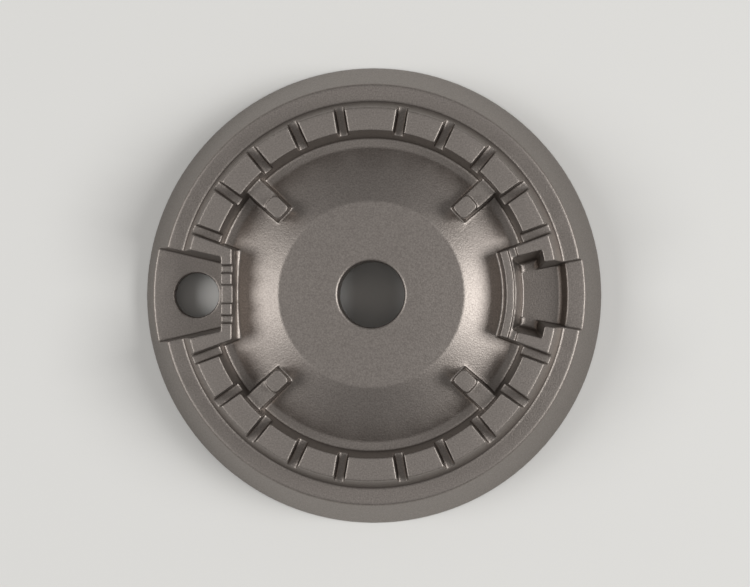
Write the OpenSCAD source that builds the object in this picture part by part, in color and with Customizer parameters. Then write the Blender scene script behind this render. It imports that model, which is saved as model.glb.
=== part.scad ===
// Gas burner base: a one-piece aluminium casting that carries the flame ports.
// Millimetres. The bottom edge of the skirt stands on z = 0 and the axis of the central
// throat is the z axis. The igniter pocket points to -X and the flame-keeping chamber to +X.

/* [Overall] */
// Width across the bottom edge of the skirt
skirt_d = 73.5; // [62:0.5:100]
// Height from the bottom edge to the tops of the port teeth
total_h = 15.5; // [14:0.25:24]
// Thickness of the skirt and of the plate under the channel
wall_t = 2.4; // [1.8:0.1:3.2]

/* [Port ring] */
// Width across the outer edges of the tooth tops
ring_d = 58.6; // [50:0.2:76]
// Radial width of the tooth tops
ring_w = 3.65; // [2.5:0.05:5]
// Height of the ring above the rim outside it
ring_h = 6; // [4:0.1:8]
// Slope of the ring's outer face from upright
ring_out_draft = 12.5; // [2:0.5:20]
// Slope of the ring's inner face from upright
ring_in_draft = 8; // [2:0.5:15]
// Flat width of the rim, from the ring's foot to its outer edge
rim_w = 2.7; // [1.5:0.1:5]

/* [Ports] */
// Width of a port slot at the tooth tops
slot_w = 1.75; // [1:0.05:2.4]
// Depth of a port slot below the tooth tops
slot_depth = 3; // [1.5:0.1:4]
// Angle between the slots of a quarter
slot_pitch = 15; // [12:0.25:18]
// Slots in each quarter of the ring
slots_quarter = 5; // [3:1:5]
// Slope of the slot walls from upright
slot_draft = 2.5; // [0:0.5:5]

/* [Dome] */
// Width of the flat disc round the throat
disc_d = 29.3; // [24:0.2:36]
// Depth of the disc below the tooth tops
disc_drop = 2.6; // [1.5:0.1:4]
// Width across the foot of the dome's slope
dome_foot_d = 46.7; // [40:0.2:48]
// Width of the central throat
throat_d = 10.5; // [8:0.1:16]
// Wall of the tube under the throat
tube_t = 2.2; // [1.5:0.1:4]
// Length of the throat from the disc to the tube's lower end
throat_l = 9.5; // [5:0.25:12]

/* [Cap fins] */
// Angle of the four fins from the X axis
fin_a = 42.6; // [38:0.1:48]
// Width of a fin at its shelf
fin_w = 2.95; // [2:0.05:4]
// Depth of the fin's shelf below the tooth tops
shelf_drop = 2.2; // [0.5:0.1:3.5]
// Distance of the pad's middle from the axis
pad_r = 20.1; // [18:0.1:22]
// Length of the raised pad along the fin
pad_l = 3.15; // [2:0.05:4.5]
// Width of the raised pad
pad_w = 2.7; // [1.8:0.05:3.6]
// Corner radius of the raised pad
pad_corner = 0.7; // [0.2:0.05:0.9]

/* [Igniter pocket] */
// Angle of each side wall of the pocket from the X axis
ign_a = 13; // [11:0.25:14.5]
// Height of the pocket's floor above the bottom edge
ign_floor = 4.5; // [3.5:0.1:7]
// Distance of the cross wall's pocket side from the axis
ign_wall_x = 23.5; // [22:0.1:24]
// Thickness of the cross wall at its top
ign_wall_t = 1.75; // [1.2:0.05:2.5]
// Width of the electrode hole
ign_hole_d = 7.1; // [5:0.1:8]
// Distance of the electrode hole from the axis
ign_hole_x = 28.2; // [27:0.1:30]
// Width of the middle lighting port in the cross wall
light_w = 3; // [2:0.1:4]
// Width of each of the two teeth beside the middle lighting port
light_tooth = 1.8; // [1.2:0.1:2.4]
// Width of each outer lighting port
light_side = 1.3; // [0.8:0.1:2]
// Depth of the lighting ports below the tooth tops
light_depth = 0.9; // [0.4:0.1:2]

/* [Flame chamber] */
// Angle of each side wall of the chamber from the X axis, at the tooth tops
cham_a = 14.5; // [12:0.25:15.5]
// Angle of each side wall of the chamber's mouth, at the tooth tops
mouth_a = 10.4; // [8:0.25:12]
// Height of the chamber's floor above the bottom edge
cham_floor = 6; // [5:0.1:7.5]
// Distance of the chamber's inner edge from the axis
cham_in_r = 22.5; // [21.5:0.1:23.5]
// Distance of the wide part's outer edge from the axis
cham_out_r = 27.8; // [26.5:0.1:29]
// Thickness of the chamber's cross wall at its top
cham_wall_t = 1.25; // [1:0.05:2]
// Depth of the mouth's lip below the rim
lip_drop = 1.2; // [0.4:0.1:2.5]
// Depth of the chamber's cross wall below the tooth tops
bleed_drop = 0.5; // [0.2:0.1:1.5]

/* [Edges] */
// Rounding of the ring's upper edges
edge_r = 0.2; // [0.1:0.05:0.4]
// Rounding where upright faces meet a floor
foot_r = 0.9; // [0.4:0.1:1.2]
// Slope of the pockets' walls from upright
wall_draft = 4; // [1:0.5:6]

/* [Hidden] */
$fn = 120;
// Sides of a rounded corner
arc_n = 4;
// Overlap that joins sub-parts
lap = 0.4;
// Reach of a cut past the part's outside
clear = 6;

skirt_r = skirt_d / 2;
throat_r = throat_d / 2;
disc_r = disc_d / 2;
dome_foot_r = dome_foot_d / 2;

rim_z = total_h - ring_h;
disc_z = total_h - disc_drop;
slot_z = total_h - slot_depth;
shelf_z = total_h - shelf_drop;
lip_z = rim_z - lip_drop;
under_z = rim_z - wall_t;

ring_r = ring_d / 2;
ring_in_r = ring_r - ring_w;
ring_foot_r = ring_r + ring_h * tan(ring_out_draft);
ring_in_foot_r = ring_in_r - ring_h * tan(ring_in_draft);
rim_r = ring_foot_r + rim_w;
skirt_lean = (skirt_r - rim_r) / rim_z;
dome_slope = (disc_z - rim_z) / (dome_foot_r - disc_r);

// First slot beside a pocket, counted from the X axis
slot_first = 90 - slot_pitch * (slots_quarter - 0.35);
slot_angles = [for (q = [0, 1], i = [0 : slots_quarter - 1], s = [-1, 1])
    180 * q + s * (slot_first + slot_pitch * i)];
fin_angles = [fin_a, 180 - fin_a, 180 + fin_a, -fin_a];

// Unit vector along v
function unit(v) = v / norm(v);

// Smallest turn from angle a to angle b
function turn(a, b) = (b - a) - 360 * round((b - a) / 360);

// Points of an arc of radius r that rounds the corner at b, between a and c
function corner(a, b, c, r) =
    let (u = unit(a - b), v = unit(c - b), half = acos(u * v) / 2)
    let (m = b + unit(u + v) * r / sin(half))
    let (p = b + u * r / tan(half) - m, q = b + v * r / tan(half) - m)
    let (start = atan2(p.y, p.x), sweep = turn(start, atan2(q.y, q.x)))
    [for (i = [0 : arc_n]) m + r * [cos(start + sweep * i / arc_n), sin(start + sweep * i / arc_n)]];

// Outline through points [x, y, radius], with each corner rounded by its radius
function rounded(pts) = let (n = len(pts), xy = [for (p = pts) [p.x, p.y]])
    [for (i = [0 : n - 1]) each pts[i][2] == 0 ? [xy[i]]
        : corner(xy[(i + n - 1) % n], xy[i], xy[(i + 1) % n], pts[i][2])];

// Extrudes an outline drawn in (sideways, up) outwards along the direction a
module along(a, from, to) {
    rotate(a) translate([from, 0, 0]) rotate([90, 0, 90]) linear_extrude(to - from) children();
}

// Extrudes an outline drawn in (outwards, up) sideways by half to each side of the X axis
module across(half) {
    rotate([90, 0, 0]) linear_extrude(2 * half, center = true) children();
}

// Space between two side walls at +a and -a, each leaning by draft and passing through
// the radial line at height z0, offset sideways by off
module between_walls(a, off, z0, low, high, draft, r = 0) {
    reach = skirt_r + clear;
    wall_low = off + (low - z0) * tan(draft);
    wall_high = off + (high - z0) * tan(draft);
    side = [[-reach, low, 0], [wall_low, low, r], [wall_high, high, 0], [-reach, high, 0]];
    intersection() {
        along(a, 0, reach) polygon(rounded(side));
        mirror([0, 1, 0]) along(a, 0, reach) polygon(rounded(side));
    }
}

// Cone that fills the skirt up to the middle of its wall
module inside_skirt() {
    inset = wall_t / 2;
    rotate_extrude() polygon([[0, 0], [skirt_r - inset, 0], [rim_r - inset, rim_z], [0, rim_z]]);
}

// Turned body: skirt, rim, port ring, channel, dome, throat and tube in one outline
module turned_body() {
    tube_r = throat_r + tube_t;
    tube_z = disc_z - throat_l;
    disc_under = disc_z - wall_t;
    skirt_in_top = skirt_r - skirt_lean * under_z - wall_t;
    outline = [
        [skirt_r, 0, 0.3],
        [rim_r, rim_z, 0.4],
        [ring_foot_r, rim_z, edge_r],
        [ring_r, total_h, edge_r],
        [ring_in_r, total_h, edge_r],
        [ring_in_foot_r, rim_z, 0.3],
        [dome_foot_r, rim_z, 0.8],
        [disc_r, disc_z, 0.8],
        [throat_r, disc_z, 0.35],
        [throat_r, tube_z, 0.35],
        [tube_r, tube_z, 0.35],
        [tube_r + 0.4, disc_under, foot_r],
        [disc_r - 0.5, disc_under, foot_r],
        [dome_foot_r - 0.5, under_z, foot_r],
        [skirt_in_top, under_z, foot_r],
        [skirt_r - wall_t, 0, 0.3]
    ];
    color("silver") rotate_extrude() polygon(rounded(outline));
}

// Four fins that run in from the ring, each with a raised pad that centres the cap
module cap_fins() {
    half = fin_w / 2;
    spread = (shelf_z - rim_z) * tan(wall_draft);
    pad_in = pad_r - pad_l / 2;
    pad_out = pad_r + pad_l / 2;
    low = rim_z - lap;
    shelf = [[half + spread, low], [half, shelf_z], [-half, shelf_z], [-half - spread, low]];
    nose = [
        [ring_in_r + lap, low],
        [ring_in_r + lap, shelf_z],
        [pad_in + lap, shelf_z],
        [pad_in - (shelf_z - low) * tan(2 * wall_draft), low]
    ];
    color("lightgray") for (a = fin_angles) {
        rotate(a) intersection() {
            along(0, 0, ring_r) polygon(shelf);
            across(fin_w) polygon(nose);
        }
        rotate(a) intersection() {
            translate([pad_in, -pad_w / 2, low]) rounded_block([pad_l, pad_w, total_h - low], pad_corner);
            skirt_reach();
        }
    }
}

// Block with upright corners rounded by r
module rounded_block(size, r) {
    outline = [[0, 0, r], [size.x, 0, r], [size.x, size.y, r], [0, size.y, r]];
    linear_extrude(size.z) polygon(rounded(outline));
}

// Everything within the skirt's width and the part's height
module skirt_reach() {
    cylinder(r = skirt_r, h = total_h);
}

// Side faces that both pocket walls share with the slots next to them
module arm_sides(low) {
    between_walls(slot_first, -slot_w / 2, total_h, low, total_h, -slot_draft);
}

// Arms and straight cross wall round the igniter pocket, drawn towards +X
module igniter_wall() {
    in_x = ign_wall_x - ign_wall_t;
    foot_z = disc_z - (in_x - disc_r) * dome_slope;
    low = rim_z - lap;
    face = [
        [ring_in_r + lap, low, 0],
        [ring_in_r + lap, total_h, 0],
        [in_x, total_h, edge_r],
        [in_x - (total_h - foot_z) * tan(3), foot_z, foot_r],
        [in_x - 3, foot_z, 0],
        [in_x - 3, low, 0]
    ];
    color("darkgray") intersection() {
        arm_sides(low);
        across(ring_r) polygon(rounded(face));
    }
}

// Arms and curved cross wall round the flame chamber, towards +X
module chamber_wall() {
    in_r = cham_in_r - cham_wall_t;
    foot_z = disc_z - (in_r - disc_r) * dome_slope;
    low = rim_z - lap;
    face = [
        [ring_in_r + lap, low, 0],
        [ring_in_r + lap, total_h, 0],
        [in_r, total_h, edge_r],
        [in_r - (total_h - foot_z) * tan(3), foot_z, foot_r],
        [in_r - 3, foot_z, 0],
        [in_r - 3, low, 0]
    ];
    color("darkgray") intersection() {
        arm_sides(low);
        rotate(-30) rotate_extrude(angle = 60) polygon(rounded(face));
    }
}

// Tub that carries the igniter pocket under the plate, drawn towards +X
module igniter_tub() {
    in_x = ign_wall_x - ign_wall_t;
    low = ign_floor - wall_t;
    color("gray") intersection() {
        inside_skirt();
        between_walls(ign_a, wall_t, ign_floor, low, rim_z - lap, wall_draft, foot_r);
        translate([in_x, -ring_r, low]) cube([skirt_r, 2 * ring_r, rim_z - lap - low]);
    }
    color("gray") translate([ign_hole_x, 0, low - 1]) cylinder(d = ign_hole_d + 4, h = wall_t);
}

// Tub that carries the flame chamber under the plate
module chamber_tub() {
    low = cham_floor - wall_t;
    color("gray") intersection() {
        inside_skirt();
        between_walls(cham_a, 0.8, total_h, low, rim_z - lap, wall_draft, foot_r);
        rotate(-30) rotate_extrude(angle = 60)
            polygon([[cham_in_r - cham_wall_t, low], [skirt_r, low],
                [skirt_r, rim_z - lap], [cham_in_r - cham_wall_t, rim_z - lap]]);
    }
}

// Port slots, cut outwards through the ring
module port_slots() {
    half = slot_w / 2;
    slim = half - slot_depth * tan(slot_draft);
    rise = lap + clear;
    wide = half + rise * tan(slot_draft);
    cut = [[-slim, slot_z, 0.25], [slim, slot_z, 0.25], [wide, total_h + rise, 0], [-wide, total_h + rise, 0]];
    for (a = slot_angles) along(a, ring_in_foot_r - 0.5, ring_foot_r + 0.5) polygon(rounded(cut));
}

// Igniter pocket with its electrode hole and lighting ports, drawn towards +X
module igniter_pocket() {
    high = total_h + clear;
    mid_z = (total_h + ign_floor) / 2;
    inner = [
        [skirt_r + clear, ign_floor],
        [ign_wall_x + (total_h - ign_floor) * tan(2), ign_floor],
        [ign_wall_x - clear * tan(2), high],
        [skirt_r + clear, high]
    ];
    intersection() {
        between_walls(ign_a, 0, mid_z, ign_floor, high, wall_draft, 0.3);
        across(skirt_r) polygon(inner);
    }
    translate([ign_hole_x, 0, -clear]) cylinder(d = ign_hole_d, h = high);
    lighting_ports();
}

// Three shallow ports across the igniter pocket's cross wall
module lighting_ports() {
    side_y = light_w / 2 + light_tooth;
    depth = light_depth + lap;
    from = ign_wall_x - ign_wall_t - clear / 2;
    length = ign_wall_t + clear / 2 + 0.6;
    translate([from, -light_w / 2, total_h - light_depth]) cube([length, light_w, depth]);
    for (s = [0, 1]) mirror([0, s, 0])
        translate([from, side_y, total_h - light_depth]) cube([length, light_side, depth]);
}

// Flame chamber: wide part inside the ring, mouth through it and lip over the rim
module chamber_pocket() {
    high = total_h + clear;
    lean = tan(wall_draft);
    foot_in = cham_in_r + (total_h - cham_floor) * tan(2 * wall_draft);
    foot_out = cham_out_r - (total_h - cham_floor) * tan(wall_draft) - 0.4;
    wide = [
        [foot_in, cham_floor, foot_r],
        [foot_out, cham_floor, foot_r],
        [cham_out_r + clear * lean, high, 0],
        [cham_in_r - clear * lean, high, 0]
    ];
    mouth_end = ring_foot_r + 0.3;
    mouth = [
        [foot_in, cham_floor, 0],
        [mouth_end - (lip_z - cham_floor) * tan(20), cham_floor, foot_r],
        [mouth_end, lip_z, 0.4],
        [skirt_r + clear, lip_z, 0],
        [skirt_r + clear, high, 0],
        [foot_in, high, 0]
    ];
    intersection() {
        between_walls(cham_a, 0, total_h, cham_floor, high, wall_draft + 2, foot_r);
        rotate(-30) rotate_extrude(angle = 60) polygon(rounded(wide));
    }
    intersection() {
        between_walls(mouth_a, 0, total_h, cham_floor, high, wall_draft, 0.2);
        rotate(-30) rotate_extrude(angle = 60) polygon(rounded(mouth));
    }
    bleed_gap();
}

// Lowered top of the chamber's cross wall, which lets a little gas into the chamber
module bleed_gap() {
    in_r = cham_in_r - cham_wall_t - clear / 2;
    patch = [
        [in_r, total_h - bleed_drop],
        [cham_in_r, total_h - bleed_drop],
        [cham_in_r, total_h - 2 * bleed_drop],
        [cham_in_r + 1.3, total_h - 2 * bleed_drop],
        [cham_in_r + 1.3, total_h + lap],
        [in_r, total_h + lap]
    ];
    rotate(-20) rotate_extrude(angle = 40) polygon(patch);
}

module burner_base() {
    difference() {
        union() {
            turned_body();
            cap_fins();
            mirror([1, 0, 0]) igniter_wall();
            mirror([1, 0, 0]) igniter_tub();
            chamber_wall();
            chamber_tub();
        }
        port_slots();
        mirror([1, 0, 0]) igniter_pocket();
        chamber_pocket();
    }
}

burner_base();
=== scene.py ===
# %% [markdown]
# # A cast gas burner base
# This lesson dresses one part of a cooker: the aluminium casting that carries the flame
# ports of a gas ring. The part is one piece, poured or injected as metal and then blasted
# with grit. Its form arrives as a measured model.
# What is left to do here is what a foundry and a blasting cabinet do: round every edge a
# little, roughen the skin, and give the metal its colour and gloss.

import math

import bmesh
import bpy
from mathutils import Matrix, Vector


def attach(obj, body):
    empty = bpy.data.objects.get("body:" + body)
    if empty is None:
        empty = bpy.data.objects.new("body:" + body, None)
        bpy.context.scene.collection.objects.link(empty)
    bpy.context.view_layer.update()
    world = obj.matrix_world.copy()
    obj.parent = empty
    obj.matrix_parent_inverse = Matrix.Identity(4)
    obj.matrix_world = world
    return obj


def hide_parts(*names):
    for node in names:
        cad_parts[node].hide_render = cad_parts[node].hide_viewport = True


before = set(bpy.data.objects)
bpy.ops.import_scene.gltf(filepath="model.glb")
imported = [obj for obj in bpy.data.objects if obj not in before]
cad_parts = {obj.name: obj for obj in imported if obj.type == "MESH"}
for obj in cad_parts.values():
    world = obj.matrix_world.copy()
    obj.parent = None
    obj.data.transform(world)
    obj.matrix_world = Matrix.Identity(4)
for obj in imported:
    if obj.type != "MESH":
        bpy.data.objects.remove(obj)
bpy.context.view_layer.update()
NODE = "burner_base"
MM = 0.001

# %% [markdown]
# ## Two small helpers
# Colours are written as hex values, the way a paint card gives them, and the renderer works
# in linear light. One function turns the first into the second. Another adds a node to a
# tree, sets its values and links its inputs, which keeps the material recipes short.

# %% Colour and node helpers
def linear(hex_colour):
    """Linear RGBA of an sRGB hex colour such as #a0a0a0."""
    channels = [int(hex_colour[i:i + 2], 16) / 255 for i in (1, 3, 5)]
    curve = [c / 12.92 if c <= 0.04045 else ((c + 0.055) / 1.055) ** 2.4 for c in channels]
    return (*curve, 1.0)


def add(tree, kind, settings=None, **inputs):
    """A new node of that kind, with its settings made and its inputs set or linked."""
    node = tree.nodes.new(kind)
    for name, value in (settings or {}).items():
        setattr(node, name, value)
    for name, value in inputs.items():
        key = int(name[1:]) if name[:1] == "i" and name[1:].isdigit() else name.replace("_", " ")
        if isinstance(value, bpy.types.NodeSocket):
            tree.links.new(value, node.inputs[key])
        else:
            node.inputs[key].default_value = value
    return node


# %% [markdown]
# ## The view
# The part lies on a pale table and is seen from almost straight above, a hand's breadth
# more than half a metre away. A long lens keeps the sides of the ring nearly upright. The
# camera stands a little to the flame chamber's side, so a sliver of each wall shows.

# %% Camera
CAMERA_AT = Vector((16.5, -6.9, 523)) * MM
LOOK_AT = Vector((0.2, 0.3, 0)) * MM
VIEW_WIDE = 120.9 * MM

camera = bpy.data.objects.new("camera", bpy.data.cameras.new("camera"))
bpy.context.collection.objects.link(camera)
camera.location = CAMERA_AT
back = (CAMERA_AT - LOOK_AT).normalized()
right = Vector((0, 1, 0)).cross(back).normalized()
camera.rotation_euler = Matrix((right, back.cross(right), back)).transposed().to_euler()
camera.data.sensor_fit = "HORIZONTAL"
camera.data.angle = 2 * math.atan(VIEW_WIDE / 2 / (LOOK_AT - CAMERA_AT).length)
camera.data.clip_start = 0.01
camera.data.clip_end = 20
bpy.context.scene.camera = camera
print("lens, mm:", round(camera.data.lens, 1))

# %% [markdown]
# ## Table and light
# Rough metal shows its form only through what it reflects, so the lights matter as much as
# the finish. Two broad lamps stand at the sides, the right one a little stronger, and the
# room between them stays dimmer. Slopes that face a lamp turn pale and slopes that face
# the room turn dark, which is how the eye reads the dome and the ring.

# %% Table
FLOOR_HALF = 1.5
FLOOR_BELOW = 0.02 * MM
FLOOR_ROUGHNESS = 0.8
FLOOR_COLOUR = "#cfcecb"

floor_mesh = bpy.data.meshes.new("table")
corners = [(-1, -1), (1, -1), (1, 1), (-1, 1)]
points = [(x * FLOOR_HALF, y * FLOOR_HALF, -FLOOR_BELOW) for x, y in corners]
floor_mesh.from_pydata(points, [], [(0, 1, 2, 3)])
floor = bpy.data.objects.new("table", floor_mesh)
bpy.context.collection.objects.link(floor)
paint = bpy.data.materials.new("matt pale table top")
paint.use_nodes = True
paint_shader = paint.node_tree.nodes["Principled BSDF"]
paint_shader.inputs["Base Color"].default_value = linear(FLOOR_COLOUR)
paint_shader.inputs["Roughness"].default_value = FLOOR_ROUGHNESS
floor_mesh.materials.append(paint)
print("table, m:", 2 * FLOOR_HALF)

# %% Lamps and room
ROOM_LEVEL = 0.35
LAMPS = {
    "right lamp": dict(at=(0.75, -0.02, 0.72), size=0.5, watts=8),
    "left lamp": dict(at=(-0.75, -0.02, 0.72), size=0.5, watts=5),
}


def lamp(name, at, size, watts):
    """A square soft lamp at a place in metres, turned to face the part."""
    light = bpy.data.lights.new(name, "AREA")
    light.shape = "SQUARE"
    light.size = size
    light.energy = watts
    holder = bpy.data.objects.new(name, light)
    bpy.context.collection.objects.link(holder)
    holder.location = at
    holder.rotation_euler = (-Vector(at)).to_track_quat("-Z", "Y").to_euler()


for lamp_name, words in LAMPS.items():
    lamp(lamp_name, **words)
room = bpy.data.worlds.new("plain room")
room.use_nodes = True
bpy.context.scene.world = room
room.node_tree.nodes["Background"].inputs["Color"].default_value = (1, 1, 1, 1)
room.node_tree.nodes["Background"].inputs["Strength"].default_value = ROOM_LEVEL
bpy.context.scene.view_settings.view_transform = "Standard"
print("lamps:", ", ".join(LAMPS))

# %% [markdown]
# ## The casting's skin
# No edge of a casting is sharp: metal shrinks back from the corners of the mould, and grit
# wears down what is left. A bevel on each edge would need clean edge loops, which a model
# cut by dozens of slots doesn't have. So the whole solid is sampled on a fine grid and
# pulled a little towards its own average, which rounds all edges by the same small radius.

# %% Copy the measured solid
# Distance in metres within which two corners of the model count as one
SAME_POINT = 1e-6

node_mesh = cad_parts[NODE].data.copy()
merge = bmesh.new()
merge.from_mesh(node_mesh)
bmesh.ops.remove_doubles(merge, verts=merge.verts, dist=SAME_POINT)
merge.transform(Matrix.Scale(1 / MM, 4))
merge.to_mesh(node_mesh)
merge.free()
solid = bpy.data.objects.new("solid", node_mesh)
bpy.context.collection.objects.link(solid)
print("solid:", len(node_mesh.vertices), "points, in millimetres")


# %% Sample, round and thin it
# Side of a grid cell in millimetres
GRID = 0.15
SOFTEN_FACTOR = 0.5
SOFTEN_PASSES = 4
# Share of the faces that is kept, so that the piece stays under 200,000 triangles
KEPT_FACES = 0.11


def evaluated(obj):
    """A plain mesh of the object with its modifiers applied."""
    graph = bpy.context.evaluated_depsgraph_get()
    return bpy.data.meshes.new_from_object(obj.evaluated_get(graph))


grid = solid.modifiers.new("fine grid", "REMESH")
grid.mode = "VOXEL"
grid.voxel_size = GRID
soften = solid.modifiers.new("worn edges", "SMOOTH")
soften.factor = SOFTEN_FACTOR
soften.iterations = SOFTEN_PASSES
thin = solid.modifiers.new("fewer faces", "DECIMATE")
thin.ratio = KEPT_FACES
skin_mesh = evaluated(solid)
skin_mesh.transform(Matrix.Scale(MM, 4))
bpy.data.objects.remove(solid)
casting = bpy.data.objects.new("burner_casting", skin_mesh)
bpy.context.collection.objects.link(casting)
for face in skin_mesh.polygons:
    face.use_smooth = True
skin_mesh.calc_loop_triangles()
print("casting:", len(skin_mesh.loop_triangles), "triangles")

# %% [markdown]
# ## Blasted aluminium
# Blasting with grit leaves a matt grey skin full of tiny pits. Each pit mirrors a lamp or
# the dark room, so the metal looks like fine sand. The pits are drawn by a bump of the
# grit's own size. The finest pits are painted: a slight change of colour from pit to pit,
# pale for painted glints and dark for painted shade, stands for them.

# %% Blasted aluminium
# Width and depth of a pit in millimetres, drawn coarser than real grit so that it shows
GRIT = 0.25
PIT_DEPTH = 0.03
METAL_ROUGHNESS = 0.45
# The pale and dark tones of the metal are painted glints and painted pit shade, not a change in the
# alloy
PAINTED_GLINT_PALE = "#938c86"
PAINTED_PIT_SHADE_DARK = "#7d7671"

blasted = bpy.data.materials.new("grit-blasted cast aluminium")
blasted.use_nodes = True
tree = blasted.node_tree
shader = tree.nodes["Principled BSDF"]
place = add(tree, "ShaderNodeTexCoord").outputs["Object"]
pits = add(tree, "ShaderNodeTexNoise", Vector=place, Scale=1 / (GRIT * MM), Detail=2.0, Roughness=0.6)
# Mask that picks a painted glint or painted shade colour for each pit
painted_glint_mask = add(tree, "ShaderNodeMapRange", i0=pits.outputs["Fac"], i1=0.3, i2=0.7)
colour = add(tree, "ShaderNodeMix", {"data_type": "RGBA"}, i0=painted_glint_mask.outputs[0])
colour.inputs[6].default_value = linear(PAINTED_PIT_SHADE_DARK)
colour.inputs[7].default_value = linear(PAINTED_GLINT_PALE)
tree.links.new(colour.outputs[2], shader.inputs["Base Color"])
bump = add(tree, "ShaderNodeBump", Height=pits.outputs["Fac"], Strength=1.0, Distance=PIT_DEPTH * MM)
tree.links.new(bump.outputs[0], shader.inputs["Normal"])
shader.inputs["Metallic"].default_value = 1.0
shader.inputs["Roughness"].default_value = METAL_ROUGHNESS
skin_mesh.materials.clear()
skin_mesh.materials.append(blasted)

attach(casting, "root")
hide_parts(NODE)
print("finish:", blasted.name)
